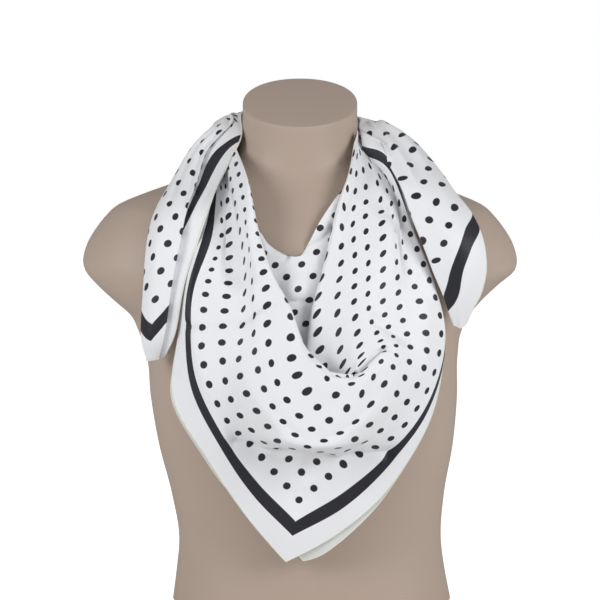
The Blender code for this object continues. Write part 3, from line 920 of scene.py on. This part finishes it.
@dataclass
class Drape:
    """The surface of the front drape over the cloth laid flat.

    A station runs from -1 at the left gather to 1 at the right one, and a share from 0 at the
    folded edge to 1 at the hem.

    Attributes:
        square_side: Side of the square scarf.
        neck_half_fold: Half the length of the folded edge in the drape.
        gather_hem: Length of hem from the hanging corner to a gather.
        turn_share: Half the share of cloth taken up by the turn of a fold.
        fade: Stations at which folds have changed to their side values.
    """

    square_side: float = 900.0
    neck_half_fold: float = 162.5
    gather_hem: float = 465.0
    turn_share: float = 0.011
    fade: float = 0.4

    def __post_init__(self) -> None:
        """Work out the control rows once."""
        self.depth = self.square_side / math.sqrt(2.0)
        self.reach = self.gather_hem / math.sqrt(2.0)
        self.rows = self.control_rows()
        self.middle = self.profile(0.0)

    def flat_place(self, station: float, share: float) -> Vector:
        """Where a station and a share lie on the cloth laid flat."""
        fold = Vector((self.neck_half_fold * station, 0.0, 0.0))
        hem = Vector((self.reach * station, 0.0, self.reach * abs(station) - self.depth))
        return fold.lerp(hem, share)

    def cut_place(self, station: float, share: float) -> Vector:
        """The distances from the right and from the left hem."""
        flat = self.flat_place(station, share)
        left = self.depth + flat.z
        return Vector(((left - flat.x) / math.sqrt(2.0), (left + flat.x) / math.sqrt(2.0), 0.0))

    def eased(self, values: tuple[float, float, float], station: float) -> float:
        """A value given at the left, in the middle and at the right, at any station."""
        left, middle, right = values
        if station <= 0.0:
            return middle + (left - middle) * smooth_step(-station / self.fade)
        return middle + (right - middle) * smooth_step(station / self.fade)

    @staticmethod
    def line_points(line: FoldLine) -> list[Vector]:
        """The points of a fold line at all stations."""
        return [Vector(place) for place in line.path]

    def control_rows(self) -> list[tuple[list[float], list[Vector]]]:
        """Shares and points of every control row at the stations.

        Returns:
            One row for a plain line, and two, behind and in front, for a fold with room in it.
        """
        lines = [self.line_points(line) for line in FOLD_LINES]
        rows = []
        for index, line in enumerate(FOLD_LINES):
            shares = [self.eased(line.share, station) for station in STATIONS]
            if not any(line.turn):
                rows.append((shares, lines[index]))
                continue
            for face in (-1.0, 1.0):
                moved = self.fold_face(index, lines, face)
                rows.append(([share + face * self.turn_share for share in shares], moved))
        return rows

    def fold_face(self, index: int, lines: list[list[Vector]], face: float) -> list[Vector]:
        """One side of a fold that has room in it; face is -1 behind or 1 in front."""
        line, before, after = FOLD_LINES[index], FOLD_LINES[index - 1], FOLD_LINES[index + 1]
        moved = []
        for k, station in enumerate(STATIONS):
            span = self.eased(after.share, station) - self.eased(before.share, station)
            along = (lines[index + 1][k] - lines[index - 1][k]) / span
            room = self.eased(line.turn, station)
            fade = 1.0 - smooth_step(room / 3.5)
            point = lines[index][k] + outward(lines[index][k]) * (face * room / 2.0)
            moved.append(point + along * (face * self.turn_share * fade))
        return moved

    def profile(self, station: float) -> tuple[list[float], list[Vector]]:
        """Shares of the control rows at a station, and how far each lies from the flat cloth."""
        knots = []
        offsets = []
        for row_shares, points in self.rows:
            values = [
                point - self.flat_place(s, at)
                for s, at, point in zip(STATIONS, row_shares, points)
            ]
            knots.append(spline(STATIONS, row_shares, station))
            offsets.append(spline(STATIONS, values, station))
        return knots, offsets

    def fall(self, share: float) -> Vector:
        """Which way the cloth runs down its middle, per millimetre of cloth."""
        step = 0.004
        knots, offsets = self.middle
        ends = [
            self.flat_place(0.0, at) + spline(knots, offsets, at)
            for at in (max(share - step, 0.0), min(share + step, 1.0))
        ]
        span = min(share + step, 1.0) - max(share - step, 0.0)
        return (ends[1] - ends[0]) / (span * self.depth)

    def column(self, station: float, shares: list[float]) -> list[Vector]:
        """Points of the drape at one station, down a list of shares.

        A row of equal share turns a corner on the cut cloth in the middle of the drape. The
        smooth curve between the stations leaves that corner out, so it is put back here.
        """
        knots, offsets = self.profile(station)
        corner = abs(station) - spline(STATIONS, [abs(s) for s in STATIONS], station)
        points = []
        for share in shares:
            point = self.flat_place(station, share) + spline(knots, offsets, share)
            turn = self.fall(share) - Vector((0.0, 0.0, -1.0))
            point -= turn * (share * self.reach * corner)
            for pull in PULLS:
                point += pull.move(station, share)
            points.append(point)
        return points

    def cloth(self, stations: list[float], shares_at) -> Cloth:
        """A grid of the drape.

        Args:
            stations: Stations of its columns.
            shares_at: A function from a station to the list of shares down the column.

        Returns:
            The grid.
        """
        columns = []
        cuts = []
        for station in stations:
            shares = shares_at(station)
            columns.append(self.column(station, shares))
            cuts.append([self.cut_place(station, share) for share in shares])
        points = [list(row) for row in zip(*columns)]
        return Cloth(points, [list(row) for row in zip(*cuts)])


def spread(first: float, last: float, count: int) -> list[float]:
    """Evenly spread numbers from first to last."""
    return [first + (last - first) * step / (count - 1) for step in range(count)]


COWL_CREASES = (
    Crease("fold right", ((-1, 334), (13.5, 343), (30, 355), (34, 362)), -7.0, 4.0, True, 0.1),
    Crease("fold left", ((-35, 356), (-22.5, 340), (-8, 331)), -6.0, 3.5, True, 0.1),
    Crease("packing crease inside", ((-22, 291.5), (16, 292)), -3.0, 2.5, True, 0.05),
)


@dataclass
class NecklineCowl:
    """The inner sheet of the cowl, hanging from the folded edge into the pocket.

    Attributes:
        ends: Stations between which it shows.
        foot: How far down towards the inner valley it goes.
        columns: Points across.
        rows: Points down.
    """

    ends: tuple[float, float] = (-0.62, 0.64)
    foot: float = 1.0
    columns: int = 121
    rows: int = 80
    along: tuple[float, float, float] = (236.6, -0.029, 1.168)
    over: tuple[float, float, float] = (50.8, 1.046, -0.161)
    bulge: float = 8.0

    def cut_place(self, point: Vector) -> Vector:
        """Where a point of the sheet lies on the cut cloth, told by its place from the front."""
        left, across = (
            start + sideways * point.x + up * point.z
            for start, sideways, up in (self.along, self.over)
        )
        return Vector(((left - across) / math.sqrt(2.0), (left + across) / math.sqrt(2.0), 0.0))

    def swell(self, point: Vector) -> Vector:
        """How far the sheet swells out above the pocket."""
        away = ((point.x + 7.0) / 11.0) ** 2 + ((point.z - 303.0) / 12.0) ** 2
        return Vector((0.0, -self.bulge * math.exp(-away), 0.0))

    def build(self, drape: Drape, form: BVHTree) -> bpy.types.Object:
        """Make the sheet.

        Args:
            drape: The drape it belongs to.
            form: Search tree of the form.

        Returns:
            The sheet.
        """
        edge = drape.line_points(FOLD_LINES[0])
        valley = drape.line_points(FOLD_LINES[1])
        points = []
        for step in range(self.rows):
            part = self.foot * step / (self.rows - 1)
            row = []
            for station in spread(*self.ends, self.columns):
                top = spline(STATIONS, edge, station)
                point = top.lerp(spline(STATIONS, valley, station), part)
                row.append(point + self.swell(point))
            points.append(row)
        cuts = [[self.cut_place(point) for point in row] for row in points]
        cloth = Cloth(points, cuts)
        cloth.crease([
            (crease, [self.cut_place(Vector((x, 0.0, z))) for x, z in crease.path])
            for crease in COWL_CREASES
        ])
        cloth.settle(form)
        item = cloth.build("cowl_neckline", SILK_FACE)
        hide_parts("neckline_cowl")
        cloth.declare(item, ["form_body"])
        return item


@dataclass
class FrontDrape:
    """The front of the drape: right ridge, pocket, left lip, breast, belly, hanging corner.

    Attributes:
        start: Share at which it starts behind the right ridge.
        columns: Points across.
        folds: Rows over the folds at the top.
        fall: Rows below them.
    """

    start: float = 0.535
    reach: float = 0.998
    columns: int = 241
    folds: int = 84
    fall: int = 116

    def shares(self, station: float) -> list[float]:
        """Shares of the rows at a station."""
        return spread(self.start, 0.70, self.folds)[:-1] + spread(0.70, 1.0, self.fall)

    def build(self, drape: Drape, form: BVHTree) -> tuple[bpy.types.Object, Cloth]:
        """Make the drape.

        Args:
            drape: Its surface.
            form: Search tree of the form.

        Returns:
            The piece and its grid.
        """
        cloth = drape.cloth(spread(-self.reach, self.reach, self.columns), self.shares)
        cloth.crease([
            (crease, [drape.cut_place(*place) for place in crease.path])
            for crease in FRONT_CREASES
        ])
        cloth.settle(form, rounds=4)
        item = cloth.build("drape_front", SILK_FACE)
        hem = HemRoll("hem_front").build(cloth.points[-1])
        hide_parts("front_drape")
        cloth.declare(item, ["form_body"], [hem])
        return item, cloth


@dataclass(frozen=True)
class PlyShift:
    """How far the second ply's edge stands out of the first ply's at a station."""

    station: float
    across: float
    up: float


PLY_SHIFTS = (
    PlyShift(-0.45, -2, 0),
    PlyShift(-0.35, -4, 1),
    PlyShift(-0.20, -3, 2),
    PlyShift(-0.07, 6, 8),
    PlyShift(0.0, 16, 0),
    PlyShift(0.10, 7, -5),
    PlyShift(0.17, 4, -3),
    PlyShift(0.25, 1.5, -1.5),
    PlyShift(0.42, 1, -1),
)


@dataclass
class UnderPly:
    """The second ply's border, which shows past the first ply's hem.

    Attributes:
        rows: Rows of the front drape that it takes.
        depth: How far it lies behind them.
        deepen: How much deeper it lies per distance moved.
    """

    rows: int = 35
    depth: float = 1.3
    deepen: float = 0.1

    def build(self, front: Cloth, reach: float) -> bpy.types.Object:
        """Make the border from the foot of the front drape.

        Args:
            front: Grid of the front drape.
            reach: Station of its last column.

        Returns:
            The border.
        """
        knots = [shift.station for shift in PLY_SHIFTS]
        shifts = [Vector((shift.across, 0.0, shift.up)) for shift in PLY_SHIFTS]
        first = front.rows - self.rows
        points, cuts = [], []
        for level in range(self.rows):
            row, places = [], []
            for column in range(front.columns):
                station = reach * (2.0 * column / (front.columns - 1) - 1.0)
                if not knots[0] <= station <= knots[-1]:
                    continue
                inward = front.normal(first + level, column)
                if inward.dot(outward(front.points[first + level][column])) > 0.0:
                    inward = -inward
                shift = spline(knots, shifts, station) * (level / (self.rows - 1))
                shift -= inward * shift.dot(inward)
                depth = self.depth + self.deepen * shift.length
                row.append(front.points[first + level][column] + shift + inward * depth)
                places.append(front.cut[first + level][column])
            points.append(row)
            cuts.append(places)
        cloth = Cloth(points, cuts)
        # Its greyed silk is painted shade of the ply lying behind the first one.
        item = cloth.build("ply_under", SILK_BACK_PAINTED_SHADE)
        hem = HemRoll("hem_under").build(cloth.points[-1])
        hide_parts("under_ply")
        cloth.declare(item, ["form_body"], [hem])
        return item


# --------------------------------------------------------------------------------------------
# The two ends


@dataclass(frozen=True)
class LeftSection:
    """A section of the left end, from its outer edge over the pleat to the hem.

    Attributes:
        name: What it is.
        outer: The edge on the shoulder.
        ridge: The pleat's edge.
        inner: The hem beside the neck.
        crown: Bulge of the panel.
        tuck: Step back beside the ridge.
        along: Distance from the corner along the diagonal.
        across: Distances from the diagonal at the outer edge, the crown and the ridge.
        band: Distance from the hem at the ridge, where the border comes out of the pleat.
        turned: Distance from the hem at the inner edge, where the border is turned under.
    """

    name: str
    outer: tuple[float, float, float]
    ridge: tuple[float, float, float]
    inner: tuple[float, float, float]
    crown: float
    tuck: float
    along: float
    across: tuple[float, float, float]
    band: float
    turned: float


LEFT_SECTIONS = (
    LeftSection("gather", (84, 13, 412), (76, 13, 428), (64, 13, 439), 1, 0, 490, (-38, -14, 8), 58, 44),
    LeftSection("right nape", (62, 68, 409), (52, 62, 421), (43, 54, 434), 2, 0, 436, (-38, -14, 8), 58, 44),
    LeftSection("nape", (0, 80, 420), (0, 75, 434), (0, 70, 448), 1, 0, 380, (-38, -14, 8), 58, 44),
    LeftSection("left nape", (-53, 61, 441), (-47, 56, 451), (-41, 51, 459), 2, 0, 325, (-38, -14, 8), 58, 44),
    LeftSection("neck side", (-80, 36, 442), (-64, 26, 457), (-55, 20, 457), 3, 0, 288, (-38, -14, 8), 56, 42),
    LeftSection("shoulder top", (-87, 14, 440), (-63, -1, 449), (-54, -14, 440), 4, 1, 256, (-38, -14, 8), 48, 35),
    LeftSection("shoulder front", (-103, 2, 423), (-86, -16, 425), (-59, -31, 426), 5, 4, 222, (-38, -14, 7), 39, 14),
    LeftSection("collar bone", (-121, -24, 393), (-95, -50, 397), (-75, -60, 395), 6, 5, 184, (-38, -12, 10), 34.5, 2),
    LeftSection("chest", (-134, -54, 369), (-103, -78, 374), (-82, -78, 377), 6, 5, 152, (-38, -14, 12), 28.5, 0),
    LeftSection("upper fall", (-140, -74, 341), (-109, -93, 342), (-93, -89, 344), 6, 5, 118, (-38, -7, 12), 18, 0),
    LeftSection("middle fall", (-143, -81, 300), (-116, -99, 306), (-105, -98, 306), 5, 4, 79, (-20, -3, 14), 14, 0),
    LeftSection("lower fall", (-145, -85, 259), (-122, -98, 265), (-113, -97, 264), 4, 3, 38, (-12, 0, 14), 8, 0),
    LeftSection("corner", (-140, -84, 236), (-128, -87, 238), (-123, -86, 240), 1, 1, 10, (-6, 0, 6), 3, 0),
)


@dataclass(frozen=True)
class RightSection:
    """A section of the right end, from its outer edge to the fold beside the neck.

    Attributes:
        name: What it is.
        outer: The edge on the shoulder.
        ridge: The line that stands out.
        inner: The folded edge.
        crown: Bulge of the cloth.
        cut: Along the diagonal and across from it at the outer edge.
        fold: Along the diagonal at the folded edge.
        under: How far the cloth is turned under at the outer edge.
    """

    name: str
    outer: tuple[float, float, float]
    ridge: tuple[float, float, float]
    inner: tuple[float, float, float]
    crown: float
    cut: tuple[float, float]
    fold: float
    under: float


RIGHT_SECTIONS = (
    RightSection("gather", (-84, 13, 412), (-76, 13, 428), (-64, 13, 439), 1, (486, 20), 486, 6),
    RightSection("left nape", (-64, 70, 409), (-56, 67, 420), (-50, 61, 431), 2, (428, 20), 428, 6),
    RightSection("before the crossing", (-34, 85, 413), (-31, 82, 426), (-28, 79, 440), 1, (398, 20), 398, 6),
    RightSection("nape", (0, 82.4, 421), (0, 77.4, 434), (0, 72.4, 447), 1, (366, 20), 366, 6),
    RightSection("past the crossing", (33, 79, 432), (30, 75, 444), (26, 69, 455), 1, (334, 20), 334, 6),
    RightSection("right nape", (57, 66, 434), (51, 61, 445), (43, 55, 453), 2, (306, 25), 308, 6),
    RightSection("neck side", (82, 36, 440), (70, 30, 449), (56, 22, 452), 3, (268, 40), 275, 6),
    RightSection("shoulder top", (88, 18, 441), (72, 9, 447), (56, -4, 443), 4, (245, 58), 256, 6),
    RightSection("shoulder front", (105, 10, 432), (86, -6, 439), (70, -16, 433), 4, (222, 66), 234, 6),
    RightSection("collar bone", (117, -2, 421), (94, -28, 427), (76, -38, 422), 4, (192, 70), 209, 6),
    RightSection("chest", (131, -30, 404), (105, -52, 409), (85, -60, 407), 4, (163, 65), 184, 6),
    RightSection("upper fall", (143, -52, 387), (115, -76, 391), (93, -77, 391), 4, (131, 62), 155, 6),
    RightSection("middle fall", (157, -74, 369), (125, -92, 368), (102, -88, 365), 4, (108, 65), 125, 6),
    RightSection("hem start", (166, -88, 347), (138, -102, 346), (113, -95, 338), 3, (79, 60), 99, 5),
    RightSection("hem bend", (169, -91, 323), (144, -103, 322), (121, -96, 317), 3, (54, 51), 69, 2),
    RightSection("lower fall", (165, -89, 300), (148, -98, 298), (130, -93, 296), 2, (37.5, 37.5), 49, 0),
    RightSection("above corner", (157, -87, 283), (147, -91, 279), (136, -88, 279), 1, (23, 23), 29, 0),
    RightSection("corner", (151, -84, 269), (146, -86, 266), (140, -85, 269), 0, (13, 10), 18, 0),
)


def corner_cut(along: float, across: float) -> Vector:
    """Distances from the two hems of a point given from a corner of the square."""
    return Vector(((along - across) / math.sqrt(2.0), (along + across) / math.sqrt(2.0), 0.0))


def section_frame(sections, index: int) -> tuple[Vector, Vector, Vector, Vector]:
    """Outer edge, ridge, inner edge and the way out of the cloth at a section."""
    section = sections[index]
    outer, ridge, inner = Vector(section.outer), Vector(section.ridge), Vector(section.inner)
    before = Vector(sections[max(index - 1, 0)].ridge)
    after = Vector(sections[min(index + 1, len(sections) - 1)].ridge)
    out = (inner - outer).cross(after - before).normalized()
    if out.dot(outward(ridge)) < 0.0:
        out = -out
    return outer, ridge, inner, out


def straight(knots, values, place: float):
    """The value at a place on straight lines through values at rising knots.

    Args:
        knots: Rising places.
        values: Vectors at those places.
        place: Where to read the line.

    Returns:
        The value there.
    """
    index = 0
    while index < len(knots) - 2 and place > knots[index + 1]:
        index += 1
    part = (place - knots[index]) / (knots[index + 1] - knots[index])
    return values[index].lerp(values[index + 1], part)


def loft(controls, cuts, knots, along: int, across: int) -> Cloth:
    """A grid through sections of control points.

    Args:
        controls: For each section, its control points.
        cuts: The same for the cut places.
        knots: Rising places of the control points across a section.
        along: Rows between two sections.
        across: Points over the whole width.

    Returns:
        The grid.
    """
    stations = list(range(len(controls)))
    points, places = [], []
    for step in range((len(controls) - 1) * along + 1):
        at = step / along
        line = [spline(stations, [row[k] for row in controls], at) for k in range(len(knots))]
        flat = [spline(stations, [row[k] for row in cuts], at) for k in range(len(knots))]
        widths = spread(knots[0], knots[-1], across)
        points.append([spline(knots, line, width) for width in widths])
        places.append([straight(knots, flat, width) for width in widths])
    return Cloth(points, places)


LEFT_CREASES = (
    Crease("beside the pleat", ((300, 2), (256, 1), (222, 0), (184, 3), (150, 6)), -1.8, 2.5, True),
    Crease("panel", ((300, -14), (222, -14), (184, -13), (140, -12)), -2.2, 4.5),
)
LEFT_BAND_CREASE = Crease(
    "border", ((11, 380), (11, 330), (11, 280), (11, 230), (11, 180)), -1.6, 2.5, True
)


@dataclass
class LeftEnd:
    """The end that comes forward over the left shoulder: a pleated panel and its border."""

    rows_between: int = 12
    points_across: int = 64

    def controls(self, index: int) -> tuple[list[Vector], list[Vector]]:
        """Control points and their cut places across one section."""
        section = LEFT_SECTIONS[index]
        outer, ridge, inner, out = section_frame(LEFT_SECTIONS, index)
        panel = ridge - outer
        way = panel.normalized()
        back = min(8.0, 0.35 * panel.length)
        tuck = max(section.tuck, 1.0)
        left, middle, right = section.across
        along = section.along
        band, turned = section.band, section.turned
        border = turned + (band - turned) * 0.6
        length = math.sqrt(2.0) * along
        points = [
            outer + way * 6.0 - out * 2.4,
            outer - out * 0.6,
            outer + panel * 0.14 + out * section.crown * 0.55,
            outer + panel * 0.5 + out * section.crown,
            ridge - way * 2.0 + out * 0.5,
            ridge,
            ridge - way * 1.5 - out * tuck * 0.35,
            ridge - way * back - out * tuck * 0.6,
            ridge - way * 2.0 - out * tuck,
            ridge.lerp(inner, 0.4) - out * tuck * 0.8,
            inner,
        ]
        cuts = [
            corner_cut(along, left - 6.0),
            corner_cut(along, left),
            corner_cut(along, left + (middle - left) * 0.4),
            corner_cut(along, middle),
            corner_cut(along, right - 2.0),
            corner_cut(along, right),
            corner_cut(along, right + 2.0),
            corner_cut(along, right + 8.0),
            Vector((band, length - band, 0.0)),
            Vector((border, length - border, 0.0)),
            Vector((turned, length - turned, 0.0)),
        ]
        return points, cuts

    def build(self, form: BVHTree, covers) -> tuple[bpy.types.Object, Cloth]:
        """Make the end.

        Args:
            form: Search tree of the form.
            covers: Cloths that it covers.

        Returns:
            The piece and its grid.
        """
        made = [self.controls(index) for index in range(len(LEFT_SECTIONS))]
        knots = (0.0, 0.1, 0.2, 0.42, 0.58, 0.62, 0.66, 0.74, 0.82, 0.91, 1.0)
        cloth = loft(
            [points for points, _ in made], [cuts for _, cuts in made], knots,
            self.rows_between, self.points_across,
        )
        creases = [
            (crease, [corner_cut(*place) for place in crease.path]) for crease in LEFT_CREASES
        ]
        creases.append((LEFT_BAND_CREASE, [Vector((*place, 0.0)) for place in LEFT_BAND_CREASE.path]))
        cloth.crease(creases)
        cloth.settle(form, covers, rounds=2)
        item = cloth.build("end_left", SILK_FACE)
        hem = HemRoll("hem_left_end").build([row[-1] for row in cloth.points])
        tip = HemRoll("hem_left_tip").build(cloth.points[-1])
        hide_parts("wrap_to_left_end")
        cloth.declare(item, ["form_body", "drape_front"], [hem, tip])
        return item, cloth


RIGHT_CREASES = (
    Crease("pleat", ((266, 20), (252, 30), (228, 36), (203, 38), (178, 34), (148, 29)), -3.5, 3.0, True),
    Crease("soft pleat", ((262, 32), (248, 43), (224, 50), (196, 53), (170, 48)), -2.5, 5.0),
)


@dataclass
class RightEnd:
    """The end that comes forward over the right shoulder: a wedge from the fold to the hem."""

    rows_between: int = 12
    points_across: int = 72
    slant: float = 0.175

    def controls(self, index: int) -> tuple[list[Vector], list[Vector]]:
        """Control points and their cut places across one section."""
        section = RIGHT_SECTIONS[index]
        outer, ridge, inner, out = section_frame(RIGHT_SECTIONS, index)
        panel, rest = ridge - outer, inner - ridge
        share = panel.length / (panel.length + rest.length)
        edge = corner_cut(*section.cut)
        lean = self.slant * max(0.0, section.fold - 50.0) * smooth_step((300.0 - section.fold) / 90.0)
        fold = corner_cut(section.fold, lean)
        way = (inner - outer).normalized()
        under = section.under
        points = [
            outer + way * (under + 0.2) - out * (0.3 + under * 0.4),
            outer - out * 0.1 * under,
            outer + panel * 0.5 + out * section.crown,
            ridge,
            ridge + rest * 0.5 + out * section.crown * 0.3,
            inner,
            inner - way * 4.0 - out * 1.8,
        ]
        cuts = [
            edge + (edge - fold).normalized() * (under + 0.2),
            edge,
            edge.lerp(fold, share * 0.5),
            edge.lerp(fold, share),
            edge.lerp(fold, (1.0 + share) * 0.5),
            fold,
            fold,
        ]
        return points, cuts

    def build(self, form: BVHTree, covers) -> tuple[bpy.types.Object, Cloth]:
        """Make the end.

        Args:
            form: Search tree of the form.
            covers: Cloths that it covers.

        Returns:
            The piece and its grid.
        """
        made = [self.controls(index) for index in range(len(RIGHT_SECTIONS))]
        knots = (0.0, 0.1, 0.32, 0.55, 0.75, 0.92, 1.0)
        cloth = loft(
            [points for points, _ in made], [cuts for _, cuts in made], knots,
            self.rows_between, self.points_across,
        )
        cloth.crease([
            (crease, [corner_cut(*place) for place in crease.path]) for crease in RIGHT_CREASES
        ])
        cloth.settle(form, covers, rounds=2)
        item = cloth.build("end_right", SILK_FACE)
        edge = [row[self.points_across // 10] for row in cloth.points[-3 * self.rows_between:]]
        hem = HemRoll("hem_right_end").build(edge)
        tip = HemRoll("hem_right_tip").build(cloth.points[-1])
        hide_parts("wrap_to_right_end")
        cloth.declare(item, ["form_body", "drape_front"], [hem, tip])
        return item, cloth


# --------------------------------------------------------------------------------------------
# Studio


@dataclass(frozen=True)
class Softbox:
    """A large soft light.

    Attributes:
        name: Its name.
        place: Where it stands, in metres.
        size: Width and height.
        power: Its power in watts.
    """

    name: str
    place: tuple[float, float, float]
    size: tuple[float, float]
    power: float

    def build(self, aim: Vector) -> bpy.types.Object:
        """Put the light up, turned to an aim."""
        data = bpy.data.lights.new(self.name, "AREA")
        data.shape = "RECTANGLE"
        data.size, data.size_y = self.size
        data.energy = self.power
        item = bpy.data.objects.new(self.name, data)
        item.location = self.place
        item.rotation_euler = (aim - item.location).to_track_quat("-Z", "Y").to_euler()
        bpy.context.scene.collection.objects.link(item)
        return item


@dataclass
class Studio:
    """Camera, lights, background and floor.

    Attributes:
        target: What the camera looks at, in metres.
        distance: How far away the camera stands.
        elevation: How far it looks down, in degrees.
        metres_per_pixel: Scale at the target.
    """

    target: Vector = field(default_factory=lambda: Vector((0.0, -0.05, 0.2877)))
    distance: float = 2.6
    elevation: float = 6.0
    metres_per_pixel: float = 0.000922
    boxes: tuple[Softbox, ...] = (
        Softbox("key_left", (-1.9, -1.4, 1.15), (1.0, 1.2), 25.4),
        Softbox("key_right", (1.85, -1.45, 1.15), (1.0, 1.2), 28.0),
    )

    def camera(self) -> None:
        """Put the camera in front of the form."""
        data = bpy.data.cameras.new("camera")
        data.sensor_width = 36.0
        data.lens = 36.0 * self.distance / (600.0 * self.metres_per_pixel)
        data.clip_end = 20.0
        item = bpy.data.objects.new("camera", data)
        angle = math.radians(self.elevation)
        item.location = self.target + Vector((0.0, -math.cos(angle), math.sin(angle))) * self.distance
        item.rotation_euler = (self.target - item.location).to_track_quat("-Z", "Y").to_euler()
        bpy.context.scene.collection.objects.link(item)
        bpy.context.scene.camera = item

    def world(self) -> None:
        """A white background that lights less than it shows."""
        world = bpy.data.worlds.new("white")
        world.use_nodes = True
        bench = Bench(world.node_tree)
        world.node_tree.nodes.clear()
        seen = bench.add("ShaderNodeBackground")
        seen.inputs[0].default_value = (1.0, 1.0, 1.0, 1.0)
        seen.inputs[1].default_value = 1.0
        fill = bench.add("ShaderNodeBackground")
        fill.inputs[0].default_value = (1.0, 1.0, 1.0, 1.0)
        fill.inputs[1].default_value = 0.27
        path = bench.add("ShaderNodeLightPath")
        mix = bench.add("ShaderNodeMixShader")
        bench.feed(mix.inputs[0], path.outputs["Is Camera Ray"])
        bench.feed(mix.inputs[1], fill.outputs[0])
        bench.feed(mix.inputs[2], seen.outputs[0])
        bench.feed(bench.add("ShaderNodeOutputWorld").inputs[0], mix.outputs[0])
        bpy.context.scene.world = world

    def floor(self) -> None:
        """A plain pale floor under the form."""
        bpy.ops.object.select_all(action="DESELECT")
        bpy.ops.mesh.primitive_plane_add(size=8.0, location=(0.0, 0.0, 0.0))
        item = bpy.context.active_object
        item.name = "floor"
        material = FLOOR.build()
        bench = Bench(material.node_tree)
        shader = material.node_tree.nodes["Principled BSDF"]
        shader.inputs["Emission Color"].default_value = (1.0, 1.0, 1.0, 1.0)
        seen = bench.add("ShaderNodeLightPath").outputs["Is Camera Ray"]
        bench.feed(shader.inputs["Emission Strength"], bench.math("MULTIPLY", seen, 0.85))
        item.data.materials.append(material)

    def build(self) -> None:
        """Set up everything round the object."""
        self.camera()
        self.world()
        self.floor()
        for box in self.boxes:
            box.build(Vector((0.0, -0.05, 0.3)))
        bpy.context.scene.view_settings.view_transform = "Standard"


def main() -> None:
    """Build the form, the scarf and the studio."""
    logging.basicConfig(level=logging.INFO, format="%(message)s")
    form = DressForm().build()
    form_tree = tree_of(form)
    drape = Drape()
    cowl = NecklineCowl().build(drape, form_tree)
    LOG.info("cowl made")
    front, front_cloth = FrontDrape().build(drape, form_tree)
    LOG.info("front drape made")
    UnderPly().build(front_cloth, FrontDrape().reach)
    over_front = (tree_of(front), lambda point: point.y < 30.0)
    right, _ = RightEnd().build(form_tree, (over_front,))
    LeftEnd().build(form_tree, (over_front, (tree_of(right), lambda point: point.x < -56.0)))
    LOG.info("ends made")
    Studio().build()


if __name__ == "__main__":
    main()
